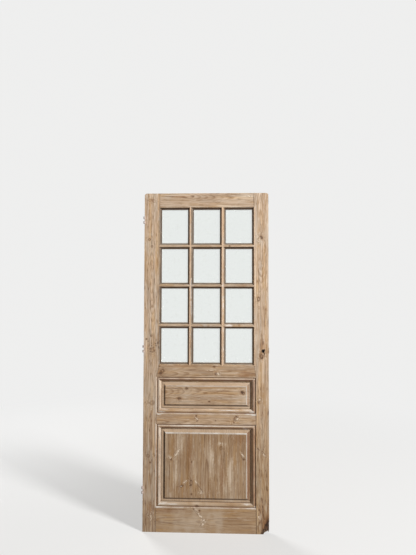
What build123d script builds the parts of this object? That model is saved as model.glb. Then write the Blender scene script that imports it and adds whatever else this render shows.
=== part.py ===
from build123d import *
import os

# A glazed and panelled door leaf of stripped pine, shown loose, with its three hinge leaves and
# its mortise lock still in it. Millimetres. X runs from the hinge edge to the lock edge, Z is up
# from the foot, and the front, which carries the mouldings, faces -Y. The origin is at the foot
# of the hinge edge, at the middle of the thickness.

# Leaf
LEAF_WIDTH = 812.8
LEAF_HEIGHT = 2190.75
LEAF_THICKNESS = 31.75

# Flat faces of the rails, and of the two stiles beside the panels and beside the glass
BOTTOM_RAIL_FACE = 158.5
MIDDLE_RAIL_FACE = 67.0
GLAZING_RAIL_FACE = 79.0
TOP_RAIL_FACE = 94.25
HINGE_STILE_AT_PANELS = 85.5
HINGE_STILE_AT_GLASS = 100.5
LOCK_STILE_AT_PANELS = 83.0
LOCK_STILE_AT_GLASS = 93.0

# Openings between those flat faces, with their mouldings
LOWER_PANEL_OPENING = 529.0
UPPER_PANEL_OPENING = 235.5

# Quirked ovolo round the panels: width, quirk, crest and fillet
PANEL_MOULD_WIDTH = 33.0
PANEL_MOULD_DEPTH = 10.5
QUIRK_WIDTH = 5.5
QUIRK_DEPTH = 4.5
CREST_DEPTH = 1.0
PANEL_FILLET = 4.0

# Raised and fielded panels
PANEL_SEAT_DEPTH = 14.5
PANEL_TONGUE = 8.0
PANEL_GROOVE = 9.0
PANEL_PLAY = 1.5
PANEL_BEVEL = 22.0
PANEL_BEVEL_RISE = 2.0
PANEL_STEP = 5.0
PANEL_STEP_SLOPE = 2.0

# Ovolo of the glazed opening and its bars
SASH_OVOLO = 8.5
SASH_FILLET = 4.5
SASH_STEP = 0.75
BAR_NOSE = 12.0
PANE_COLUMNS = 3
PANE_ROWS = 4

# Glass, laid in from the back and puttied
GLASS_SEAT_DEPTH = 16.5
GLASS_THICKNESS = 3.0
GLASS_REBATE = 12.0
GLASS_PLAY = 1.5
PUTTY_SIGHT = 2.5
PUTTY_RECESS = 1.0

# Mortise and tenon joints
TENON_LENGTH = 58.0
TENON_THICKNESS = 10.0
TENON_DEPTH = 11.0
TENON_HAUNCH = 12.0
BAR_TENON = 10.0

# Hinge leaves let into the hinge edge, placed from the foot, the glazing rail and the head
BOTTOM_HINGE_RISE = 268.0
MIDDLE_HINGE_RISE = 102.0
TOP_HINGE_DROP = 178.0
HINGE_LENGTH = 76.2
HINGE_LEAF_WIDTH = 25.0
HINGE_LEAF_THICKNESS = 2.2
HINGE_KNUCKLES = 5
KNUCKLE_RADIUS = 6.3
KNUCKLE_GAP = 0.3
KNUCKLE_CLEAR = 0.8
PIN_HOLE_RADIUS = 2.6

# Mortise lock in the lock edge, placed from the top of the glazing rail
LOCK_RISE = 92.0
LOCK_BACKSET = 33.0
LOCK_CASE_HEIGHT = 72.0
LOCK_CASE_DEPTH = 52.0
LOCK_CASE_THICKNESS = 12.0
FACEPLATE_HEIGHT = 98.0
FACEPLATE_WIDTH = 18.0
FACEPLATE_THICKNESS = 2.5
BOLT_HEIGHT = 36.0
BOLT_THICKNESS = 9.0
BOLT_THROW = 4.0
KEYHOLE_RADIUS = 7.0
KEYHOLE_SLOT_WIDTH = 6.5
KEYHOLE_SLOT_LENGTH = 23.0
KEYHOLE_SLOT_LEAN = 3.5
KEYHOLE_IN_CASE = 6.0

# Wear and damage of the frame
CORNER_ROUND = 14.0
CHIP_WIDTH = 42.0
CHIP_HEIGHT = 22.0
SPLIT_HEIGHT = 78.0
SPLIT_WIDTH = 35.0
SPLIT_DEPTH = 12.0
NAIL_HOLE_RADIUS = 1.6
NAIL_HOLE_DEPTH = 7.0
NAIL_HOLES = [(18.5, 43.0), (18.5, 76.0), (40.0, 63.0)]

# How far a cutting tool runs past the surface that it opens
OVERCUT = 2.0

# Lines that follow from the sizes above
FRONT_Y = -LEAF_THICKNESS / 2
SASH_MOULD_WIDTH = SASH_OVOLO + SASH_FILLET
SASH_MOULD_DEPTH = SASH_OVOLO + SASH_STEP
BAR_WIDTH = 2 * SASH_MOULD_WIDTH + BAR_NOSE
BAR_TONGUE = BAR_WIDTH - 2 * GLASS_REBATE
LOWER_PANEL_FOOT = BOTTOM_RAIL_FACE
LOWER_PANEL_HEAD = LOWER_PANEL_FOOT + LOWER_PANEL_OPENING
UPPER_PANEL_FOOT = LOWER_PANEL_HEAD + MIDDLE_RAIL_FACE
UPPER_PANEL_HEAD = UPPER_PANEL_FOOT + UPPER_PANEL_OPENING
GLASS_FOOT = UPPER_PANEL_HEAD + GLAZING_RAIL_FACE
GLASS_HEAD = LEAF_HEIGHT - TOP_RAIL_FACE
LOCK_HEIGHT = GLASS_FOOT + LOCK_RISE
HINGE_HEIGHTS = {
    "bottom": BOTTOM_HINGE_RISE,
    "middle": GLASS_FOOT + MIDDLE_HINGE_RISE,
    "top": LEAF_HEIGHT - TOP_HINGE_DROP,
}

# The sight edges of the glazed opening, and the panes that share it out
GLASS_LEFT = HINGE_STILE_AT_GLASS + SASH_MOULD_WIDTH
GLASS_RIGHT = LEAF_WIDTH - LOCK_STILE_AT_GLASS - SASH_MOULD_WIDTH
GLASS_BOTTOM = GLASS_FOOT + SASH_MOULD_WIDTH
GLASS_TOP = GLASS_HEAD - SASH_MOULD_WIDTH
PANE_WIDTH = (GLASS_RIGHT - GLASS_LEFT - (PANE_COLUMNS - 1) * BAR_WIDTH) / PANE_COLUMNS
PANE_HEIGHT = (GLASS_TOP - GLASS_BOTTOM - (PANE_ROWS - 1) * BAR_WIDTH) / PANE_ROWS
PANE_PITCH_X = PANE_WIDTH + BAR_WIDTH
PANE_PITCH_Z = PANE_HEIGHT + BAR_WIDTH

# The front elevation as a drawing plane: its X is X, its Y is Z, and its normal faces -Y
FRONT = Plane(origin=(0, FRONT_Y, 0), x_dir=(1, 0, 0), z_dir=(0, -1, 0))


def prism(outline, near, far):
    """A front-view outline, solid between two depths behind the front face."""
    return extrude(FRONT.offset(-near) * outline, amount=far - near, dir=(0, 1, 0))


def rectangle(left, right, bottom, top):
    """A front-view rectangle from its four edges."""
    middle = ((left + right) / 2, (bottom + top) / 2)
    return Pos(*middle) * Rectangle(right - left, top - bottom)


def outline(*points):
    """A front-view outline from its corners."""
    return Polygon(*points, align=None)


def run_round(section, left, right, bottom, top):
    """Run a moulding section round an opening, mitred at its corners.

    The section's X is the distance outwards from the sight edge, and its Y the depth.
    """
    middle = (left + right) / 2
    corners = [(middle, bottom), (right, bottom), (right, top), (left, top), (left, bottom)]
    path = FRONT * Polyline(*corners, close=True)
    start = Plane(origin=(middle, FRONT_Y, bottom), x_dir=(0, 0, -1), z_dir=(1, 0, 0))
    return sweep(start * section, path=path, transition=Transition.RIGHT)


def sash_section():
    """What the plane takes off beside a pane: a step, an ovolo and a fillet."""
    outer = SASH_MOULD_WIDTH
    start = (outer, SASH_STEP)
    end = (SASH_FILLET, SASH_MOULD_DEPTH)
    edge = Polyline(end, (-OVERCUT, SASH_MOULD_DEPTH), (-OVERCUT, -OVERCUT), (outer, -OVERCUT), start)
    ovolo = RadiusArc(start, end, -SASH_OVOLO)
    return make_face([edge, ovolo])


def panel_section():
    """What the plane takes off beside a panel: a quirk, a full ovolo and a fillet."""
    outer = PANEL_MOULD_WIDTH
    quirk = (outer - QUIRK_WIDTH, QUIRK_DEPTH)
    foot = (PANEL_FILLET, PANEL_MOULD_DEPTH)
    crest = ((quirk[0] + foot[0]) / 2, CREST_DEPTH)
    edge = Polyline(
        foot,
        (-OVERCUT, PANEL_MOULD_DEPTH),
        (-OVERCUT, -OVERCUT),
        (outer, -OVERCUT),
        (outer, 0),
        quirk,
    )
    ovolo = ThreePointArc(quirk, crest, foot)
    return make_face([edge, ovolo])


def bevel_section():
    """What is cut from a panel blank to leave its raised field."""
    foot = PANEL_SEAT_DEPTH
    rise = foot - PANEL_BEVEL_RISE
    outer = PANEL_GROOVE + OVERCUT
    inner = PANEL_BEVEL + PANEL_STEP_SLOPE
    return outline(
        (outer, -OVERCUT),
        (outer, foot),
        (0, foot),
        (-PANEL_BEVEL, rise),
        (-inner, rise - PANEL_STEP),
        (-inner, -OVERCUT),
    )


def putty_section():
    """The fillet of putty between the glass and the wall of its rebate."""
    glass_back = GLASS_SEAT_DEPTH + GLASS_THICKNESS
    return outline(
        (PUTTY_SIGHT, glass_back),
        (GLASS_REBATE, glass_back),
        (GLASS_REBATE, LEAF_THICKNESS - PUTTY_RECESS),
    )


def pane_edges(column, row):
    """The sight edges of one pane, counted from the lower left."""
    left = GLASS_LEFT + column * PANE_PITCH_X
    bottom = GLASS_BOTTOM + row * PANE_PITCH_Z
    return left, left + PANE_WIDTH, bottom, bottom + PANE_HEIGHT


def grown(edges, margin):
    """The same four edges, moved outwards by a margin."""
    left, right, bottom, top = edges
    return left - margin, right + margin, bottom - margin, top + margin


def pane_cutter(column, row):
    """The hole for one pane: its moulded front, its sight opening and its rebate."""
    edges = pane_edges(column, row)
    hole = prism(rectangle(*edges), -OVERCUT, LEAF_THICKNESS + OVERCUT)
    rebate = rectangle(*grown(edges, GLASS_REBATE))
    seat = prism(rebate, GLASS_SEAT_DEPTH, LEAF_THICKNESS + OVERCUT)
    return run_round(sash_section(), *edges) + hole + seat


def panel_edges(foot, head):
    """The sight edges of a panel, from the flat faces below and above it."""
    flats = (HINGE_STILE_AT_PANELS, LEAF_WIDTH - LOCK_STILE_AT_PANELS, foot, head)
    return grown(flats, -PANEL_MOULD_WIDTH)


def panel_cutter(foot, head):
    """The opening for one panel: its moulded front, its sight opening and its groove."""
    edges = panel_edges(foot, head)
    hole = prism(rectangle(*edges), -OVERCUT, LEAF_THICKNESS + OVERCUT)
    groove = rectangle(*grown(edges, PANEL_GROOVE))
    seat = prism(groove, PANEL_SEAT_DEPTH, PANEL_SEAT_DEPTH + PANEL_TONGUE)
    return run_round(panel_section(), *edges) + hole + seat


def panel(foot, head):
    """A raised and fielded panel with its tongue in the groove all round."""
    edges = panel_edges(foot, head)
    field_depth = PANEL_SEAT_DEPTH - PANEL_BEVEL_RISE - PANEL_STEP
    blank = rectangle(*grown(edges, PANEL_GROOVE - PANEL_PLAY))
    board = prism(blank, field_depth, PANEL_SEAT_DEPTH + PANEL_TONGUE)
    return board - run_round(bevel_section(), *edges)


def bar_blank(left, right, bottom, top, upright):
    """A glazing bar before it is moulded, with mitred points at its ends.

    The edges are those of the bar between the sight edges that it joins.
    """
    point = SASH_MOULD_WIDTH
    if upright:
        corners = [
            (left, bottom),
            (left + point, bottom - point),
            (right - point, bottom - point),
            (right, bottom),
            (right, top),
            (right - point, top + point),
            (left + point, top + point),
            (left, top),
        ]
        back = rectangle(left, right, bottom - GLASS_REBATE, top + GLASS_REBATE)
    else:
        corners = [
            (left, bottom),
            (right, bottom),
            (right + point, bottom + point),
            (right + point, top - point),
            (right, top),
            (left, top),
            (left - point, top - point),
            (left - point, bottom + point),
        ]
        back = rectangle(left - GLASS_REBATE, right + GLASS_REBATE, bottom, top)
    face = prism(outline(*corners), 0, GLASS_SEAT_DEPTH)
    return face + prism(back, GLASS_SEAT_DEPTH, LEAF_THICKNESS)


def upright_bar_blank(index):
    """The blank of one upright bar, with a stub tenon for each rail."""
    left = GLASS_LEFT + PANE_WIDTH + index * PANE_PITCH_X
    right = left + BAR_WIDTH
    blank = bar_blank(left, right, GLASS_BOTTOM, GLASS_TOP, True)
    side = (BAR_WIDTH - BAR_TONGUE) / 2
    reach = GLASS_REBATE + BAR_TENON
    tenon = rectangle(left + side, right - side, GLASS_BOTTOM - reach, GLASS_TOP + reach)
    return blank + prism(tenon, GLASS_SEAT_DEPTH, GLASS_SEAT_DEPTH + TENON_THICKNESS)


def cross_bar_blank(column, row):
    """The blank of one short bar, above the pane of the same column and row."""
    left, right, _, top = pane_edges(column, row)
    return bar_blank(left, right, top, top + BAR_WIDTH, False)


def rail_ends(end):
    """The corners of a rail's hinge end, followed by those of its lock end.

    The end is a rule that gives one end's corners, measured from its own edge of the leaf, from
    the flat faces of that stile beside the panels and beside the glass.
    """
    hinge_end = end(HINGE_STILE_AT_PANELS, HINGE_STILE_AT_GLASS)
    lock_end = end(LOCK_STILE_AT_PANELS, LOCK_STILE_AT_GLASS)
    return hinge_end + [(LEAF_WIDTH - x, z) for x, z in reversed(lock_end)]


def rail_blank(front_end, back_end, tenon_bottom, tenon_top):
    """A rail before it is moulded, from the rules for its ends, and its two tenons."""
    face = prism(outline(*rail_ends(front_end)), 0, GLASS_SEAT_DEPTH)
    back = prism(outline(*rail_ends(back_end)), GLASS_SEAT_DEPTH, LEAF_THICKNESS)
    hinge_reach = HINGE_STILE_AT_PANELS - TENON_LENGTH
    lock_reach = LEAF_WIDTH - LOCK_STILE_AT_PANELS + TENON_LENGTH
    tenon = rectangle(hinge_reach, lock_reach, tenon_bottom, tenon_top)
    return face + back + prism(tenon, TENON_DEPTH, TENON_DEPTH + TENON_THICKNESS)


def bottom_rail_blank():
    """The deep rail at the foot, moulded on its upper edge."""
    sight = LOWER_PANEL_FOOT + PANEL_MOULD_WIDTH

    def front_end(at_panels, at_glass):
        return [(at_panels, 0), (at_panels, LOWER_PANEL_FOOT), (at_panels + PANEL_MOULD_WIDTH, sight)]

    def back_end(at_panels, at_glass):
        return [(at_panels + PANEL_MOULD_WIDTH, 0), (at_panels + PANEL_MOULD_WIDTH, sight)]

    return rail_blank(front_end, back_end, TENON_HAUNCH, LOWER_PANEL_FOOT - TENON_HAUNCH)


def middle_rail_blank():
    """The rail between the two panels, moulded on both edges."""
    below = LOWER_PANEL_HEAD - PANEL_MOULD_WIDTH
    above = UPPER_PANEL_FOOT + PANEL_MOULD_WIDTH

    def front_end(at_panels, at_glass):
        return [
            (at_panels + PANEL_MOULD_WIDTH, below),
            (at_panels, LOWER_PANEL_HEAD),
            (at_panels, UPPER_PANEL_FOOT),
            (at_panels + PANEL_MOULD_WIDTH, above),
        ]

    def back_end(at_panels, at_glass):
        return [(at_panels + PANEL_MOULD_WIDTH, below), (at_panels + PANEL_MOULD_WIDTH, above)]

    return rail_blank(front_end, back_end, LOWER_PANEL_HEAD, UPPER_PANEL_FOOT)


def glazing_rail_blank():
    """The rail under the glass, whose shoulders slant because the stiles narrow below it."""
    below = UPPER_PANEL_HEAD - PANEL_MOULD_WIDTH

    def front_end(at_panels, at_glass):
        return [
            (at_panels + PANEL_MOULD_WIDTH, below),
            (at_panels, UPPER_PANEL_HEAD),
            (at_glass, GLASS_FOOT),
            (at_glass + SASH_MOULD_WIDTH, GLASS_BOTTOM),
        ]

    def back_end(at_panels, at_glass):
        rebate = at_glass + SASH_MOULD_WIDTH - GLASS_REBATE
        return [(at_panels + PANEL_MOULD_WIDTH, below), (rebate, GLASS_BOTTOM)]

    return rail_blank(front_end, back_end, UPPER_PANEL_HEAD, GLASS_FOOT - 2 * TENON_HAUNCH)


def top_rail_blank():
    """The rail at the head, moulded on its lower edge."""

    def front_end(at_panels, at_glass):
        return [(at_glass + SASH_MOULD_WIDTH, GLASS_TOP), (at_glass, GLASS_HEAD), (at_glass, LEAF_HEIGHT)]

    def back_end(at_panels, at_glass):
        rebate = at_glass + SASH_MOULD_WIDTH - GLASS_REBATE
        return [(rebate, GLASS_TOP), (rebate, LEAF_HEIGHT)]

    return rail_blank(front_end, back_end, GLASS_HEAD + TENON_HAUNCH, LEAF_HEIGHT - 2 * TENON_HAUNCH)


def stile_blank(at_panels, at_glass, mirror):
    """One stile before it is moulded or cut for its joints."""
    inner = [
        (at_panels + PANEL_MOULD_WIDTH, 0),
        (at_panels + PANEL_MOULD_WIDTH, UPPER_PANEL_HEAD),
        (at_glass + SASH_MOULD_WIDTH, UPPER_PANEL_HEAD),
        (at_glass + SASH_MOULD_WIDTH, LEAF_HEIGHT),
    ]
    corners = [(0, 0)] + inner + [(0, LEAF_HEIGHT)]
    if mirror:
        corners = [(LEAF_WIDTH - x, z) for x, z in corners]
    return prism(outline(*corners), 0, LEAF_THICKNESS)


def hinge_gain(height):
    """The recess that takes one hinge leaf in the hinge edge."""
    back = FRONT_Y + HINGE_LEAF_WIDTH
    size = (HINGE_LEAF_THICKNESS + OVERCUT, HINGE_LEAF_WIDTH + OVERCUT, HINGE_LENGTH)
    return Pos(HINGE_LEAF_THICKNESS, back, height) * Box(*size, align=(Align.MAX, Align.MAX, Align.CENTER))


def hinge_leaf(height):
    """A butt hinge leaf with the second and fourth of five knuckles, open for the pin."""
    knuckle_y = FRONT_Y - KNUCKLE_RADIUS - KNUCKLE_CLEAR
    pitch = HINGE_LENGTH / HINGE_KNUCKLES
    web = FRONT_Y + HINGE_LEAF_WIDTH - knuckle_y
    plate_size = (HINGE_LEAF_THICKNESS, HINGE_LEAF_WIDTH, HINGE_LENGTH)
    plate = Pos(0, FRONT_Y, height) * Box(*plate_size, align=(Align.MIN, Align.MIN, Align.CENTER))
    leaf = plate
    for index in range(1, HINGE_KNUCKLES, 2):
        middle = height + (index - (HINGE_KNUCKLES - 1) / 2) * pitch
        length = pitch - KNUCKLE_GAP
        strap_size = (HINGE_LEAF_THICKNESS, web, length)
        strap = Pos(0, knuckle_y, middle) * Box(*strap_size, align=(Align.MIN, Align.MIN, Align.CENTER))
        barrel = Pos(0, knuckle_y, middle) * Cylinder(KNUCKLE_RADIUS, length)
        leaf = leaf + strap + barrel
    pin_hole = Pos(0, knuckle_y, height) * Cylinder(PIN_HOLE_RADIUS, HINGE_LENGTH)
    return leaf - pin_hole


def keyhole(near, far):
    """A round keyhole with its slot below."""
    middle = LEAF_WIDTH - LOCK_BACKSET
    eye = Pos(middle, LOCK_HEIGHT) * Circle(KEYHOLE_RADIUS)
    half = KEYHOLE_SLOT_WIDTH / 2
    foot = LOCK_HEIGHT - KEYHOLE_SLOT_LENGTH
    slot = outline(
        (middle - half, LOCK_HEIGHT),
        (middle - half + KEYHOLE_SLOT_LEAN, foot),
        (middle + half + KEYHOLE_SLOT_LEAN, foot),
        (middle + half, LOCK_HEIGHT),
    )
    return prism(eye + slot, near, far)


def lock_block(inner, outer, thickness, height):
    """A block of the lock, centred on the leaf's thickness, between two places along X."""
    size = (outer - inner, thickness, height)
    return Pos((inner + outer) / 2, 0, LOCK_HEIGHT) * Box(*size)


def lock_parts():
    """The lock's case, its faceplate let into the edge, and its bolt."""
    face = LEAF_WIDTH - FACEPLATE_THICKNESS
    case = lock_block(face - LOCK_CASE_DEPTH, face, LOCK_CASE_THICKNESS, LOCK_CASE_HEIGHT)
    case_front = (LEAF_THICKNESS - LOCK_CASE_THICKNESS) / 2
    case = case - keyhole(case_front - OVERCUT, case_front + KEYHOLE_IN_CASE)
    plate = lock_block(face, LEAF_WIDTH, FACEPLATE_WIDTH, FACEPLATE_HEIGHT)
    bolt = lock_block(face, LEAF_WIDTH + BOLT_THROW, BOLT_THICKNESS, BOLT_HEIGHT)
    return case, plate - bolt, bolt


def lock_mortise():
    """What is cut from the lock stile for the lock and the key."""
    face = LEAF_WIDTH - FACEPLATE_THICKNESS
    inner = face - LOCK_CASE_DEPTH
    case = lock_block(inner, face + OVERCUT, LOCK_CASE_THICKNESS, LOCK_CASE_HEIGHT)
    plate = lock_block(face, LEAF_WIDTH + OVERCUT, FACEPLATE_WIDTH, FACEPLATE_HEIGHT)
    return case + plate + keyhole(-OVERCUT, LEAF_THICKNESS / 2)


def broken_foot():
    """The broken corner at the foot of the lock edge, and what has split off the front above it."""
    edge = LEAF_WIDTH + OVERCUT
    corner = outline(
        (edge, -OVERCUT),
        (edge, CHIP_HEIGHT),
        (LEAF_WIDTH - 0.16 * CHIP_WIDTH, 0.88 * CHIP_HEIGHT),
        (LEAF_WIDTH - 0.45 * CHIP_WIDTH, 0.6 * CHIP_HEIGHT),
        (LEAF_WIDTH - 0.71 * CHIP_WIDTH, 0.27 * CHIP_HEIGHT),
        (LEAF_WIDTH - CHIP_WIDTH, -OVERCUT),
    )
    split = outline(
        (edge, -OVERCUT),
        (edge, SPLIT_HEIGHT),
        (LEAF_WIDTH - 0.22 * SPLIT_WIDTH, 0.92 * SPLIT_HEIGHT),
        (LEAF_WIDTH - 0.3 * SPLIT_WIDTH, 0.56 * SPLIT_HEIGHT),
        (LEAF_WIDTH - 0.52 * SPLIT_WIDTH, 0.47 * SPLIT_HEIGHT),
        (LEAF_WIDTH - 0.84 * SPLIT_WIDTH, 0.38 * SPLIT_HEIGHT),
        (LEAF_WIDTH - 0.97 * SPLIT_WIDTH, 0.2 * SPLIT_HEIGHT),
        (LEAF_WIDTH - SPLIT_WIDTH, -OVERCUT),
    )
    return prism(corner, -OVERCUT, LEAF_THICKNESS + OVERCUT) + prism(split, -OVERCUT, SPLIT_DEPTH)


def worn_corner(outer, inner):
    """What is worn off the top corner of a stile, between its edge and a place along X."""
    low = LEAF_HEIGHT - CORNER_ROUND
    square = rectangle(min(outer, inner), max(outer, inner), low, LEAF_HEIGHT + OVERCUT)
    kept = Pos(inner, low) * Circle(CORNER_ROUND)
    return prism(square - kept, -OVERCUT, LEAF_THICKNESS + OVERCUT)


def nail_hole(across, down):
    """One nail hole in the front of the hinge stile, measured from its top corner."""
    hole = Pos(across, LEAF_HEIGHT - down) * Circle(NAIL_HOLE_RADIUS)
    return prism(hole, -OVERCUT, NAIL_HOLE_DEPTH)


def build():
    """Every piece of the leaf, by name."""
    columns = range(PANE_COLUMNS)
    rows = range(PANE_ROWS)
    pane_holes = {(column, row): pane_cutter(column, row) for column in columns for row in rows}
    lower_hole = panel_cutter(LOWER_PANEL_FOOT, LOWER_PANEL_HEAD)
    upper_hole = panel_cutter(UPPER_PANEL_FOOT, UPPER_PANEL_HEAD)

    rails = {
        "bottom_rail": bottom_rail_blank(),
        "middle_rail": middle_rail_blank(),
        "glazing_rail": glazing_rail_blank(),
        "top_rail": top_rail_blank(),
    }
    uprights = [upright_bar_blank(index) for index in range(PANE_COLUMNS - 1)]
    cross_bars = {
        (column, row): cross_bar_blank(column, row) for column in columns for row in rows[:-1]
    }

    pieces = {}
    hinge_blank = stile_blank(HINGE_STILE_AT_PANELS, HINGE_STILE_AT_GLASS, False)
    lock_blank = stile_blank(LOCK_STILE_AT_PANELS, LOCK_STILE_AT_GLASS, True)
    for name, blank, column in (
        ("hinge_stile", hinge_blank, columns[0]),
        ("lock_stile", lock_blank, columns[-1]),
    ):
        joints = list(rails.values()) + [cross_bars[column, row] for row in rows[:-1]]
        openings = [lower_hole, upper_hole] + [pane_holes[column, row] for row in rows]
        pieces[name] = blank - joints - openings
    gains = [hinge_gain(height) for height in HINGE_HEIGHTS.values()]
    nails = [nail_hole(across, down) for across, down in NAIL_HOLES]
    worn = worn_corner(-OVERCUT, CORNER_ROUND)
    pieces["hinge_stile"] = pieces["hinge_stile"] - gains - nails - worn
    worn = worn_corner(LEAF_WIDTH + OVERCUT, LEAF_WIDTH - CORNER_ROUND)
    pieces["lock_stile"] = pieces["lock_stile"] - lock_mortise() - broken_foot() - worn

    pieces["bottom_rail"] = rails["bottom_rail"] - lower_hole
    pieces["middle_rail"] = rails["middle_rail"] - [lower_hole, upper_hole]
    lowest = [pane_holes[column, 0] for column in columns]
    highest = [pane_holes[column, rows[-1]] for column in columns]
    pieces["glazing_rail"] = rails["glazing_rail"] - uprights - upper_hole - lowest
    pieces["top_rail"] = rails["top_rail"] - uprights - highest

    for index, name in enumerate(("glazing_bar_hinge_side", "glazing_bar_lock_side")):
        beside = [cross_bars[column, row] for column in (index, index + 1) for row in rows[:-1]]
        holes = [pane_holes[column, row] for column in (index, index + 1) for row in rows]
        pieces[name] = uprights[index] - beside - holes
    for column, row in cross_bars:
        holes = [pane_holes[column, row], pane_holes[column, row + 1]]
        pieces[f"cross_bar_{column + 1}_{row + 1}"] = cross_bars[column, row] - holes

    putty = []
    for column, row in pane_holes:
        edges = pane_edges(column, row)
        sheet = rectangle(*grown(edges, GLASS_REBATE - GLASS_PLAY))
        glass = prism(sheet, GLASS_SEAT_DEPTH, GLASS_SEAT_DEPTH + GLASS_THICKNESS)
        pieces[f"pane_{column + 1}_{row + 1}"] = glass
        putty.append(run_round(putty_section(), *edges))
    pieces["putty"] = Compound(children=putty)

    pieces["lower_panel"] = panel(LOWER_PANEL_FOOT, LOWER_PANEL_HEAD)
    pieces["upper_panel"] = panel(UPPER_PANEL_FOOT, UPPER_PANEL_HEAD)
    for name, height in HINGE_HEIGHTS.items():
        pieces[f"hinge_leaf_{name}"] = hinge_leaf(height)
    case, plate, bolt = lock_parts()
    pieces["lock_case"] = case
    pieces["lock_faceplate"] = plate
    pieces["lock_bolt"] = bolt
    return pieces


os.makedirs("parts", exist_ok=True)
for node, piece in build().items():
    export_step(piece, f"parts/{node}.step")
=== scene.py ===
import math
import random

import bmesh
import bpy
from mathutils import Matrix, Vector


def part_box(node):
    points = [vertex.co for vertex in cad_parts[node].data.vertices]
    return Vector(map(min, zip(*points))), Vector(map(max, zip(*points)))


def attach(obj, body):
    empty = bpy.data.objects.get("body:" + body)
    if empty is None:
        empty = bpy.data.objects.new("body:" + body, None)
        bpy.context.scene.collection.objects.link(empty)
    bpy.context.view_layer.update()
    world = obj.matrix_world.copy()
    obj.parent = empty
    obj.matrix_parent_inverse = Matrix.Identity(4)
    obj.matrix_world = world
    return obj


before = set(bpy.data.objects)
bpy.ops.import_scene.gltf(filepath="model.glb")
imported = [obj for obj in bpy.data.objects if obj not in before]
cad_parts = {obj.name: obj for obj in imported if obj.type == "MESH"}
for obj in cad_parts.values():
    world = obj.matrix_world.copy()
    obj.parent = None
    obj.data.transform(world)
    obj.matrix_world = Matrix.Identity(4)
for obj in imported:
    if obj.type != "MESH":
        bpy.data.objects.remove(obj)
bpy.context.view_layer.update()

MM = 0.001

# Laps of the panes and the panels behind their sight edges, the widths of the mouldings round them,
# and the leaf's front and lock edge
PANE_LAP = 10.5 * MM
TONGUE_LAP = 7.5 * MM
PANEL_MOULD = 33.0 * MM
SASH_MOULD = 13.0 * MM
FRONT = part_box("lock_stile")[0].y
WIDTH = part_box("lock_stile")[1].x

# The depths at which the front's remains and the marks on its face end, the height from which the
# mouldings are the upper panel's, and where the last upright bar's part begins
FRONT_HALF = 17.0 * MM
SKIN_END, SKIN_FULL = 14.0 * MM, 9.0 * MM
UPPER_FROM = 0.8
LAST_BAR_FROM = 0.45


# Short ways to write node trees


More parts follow.
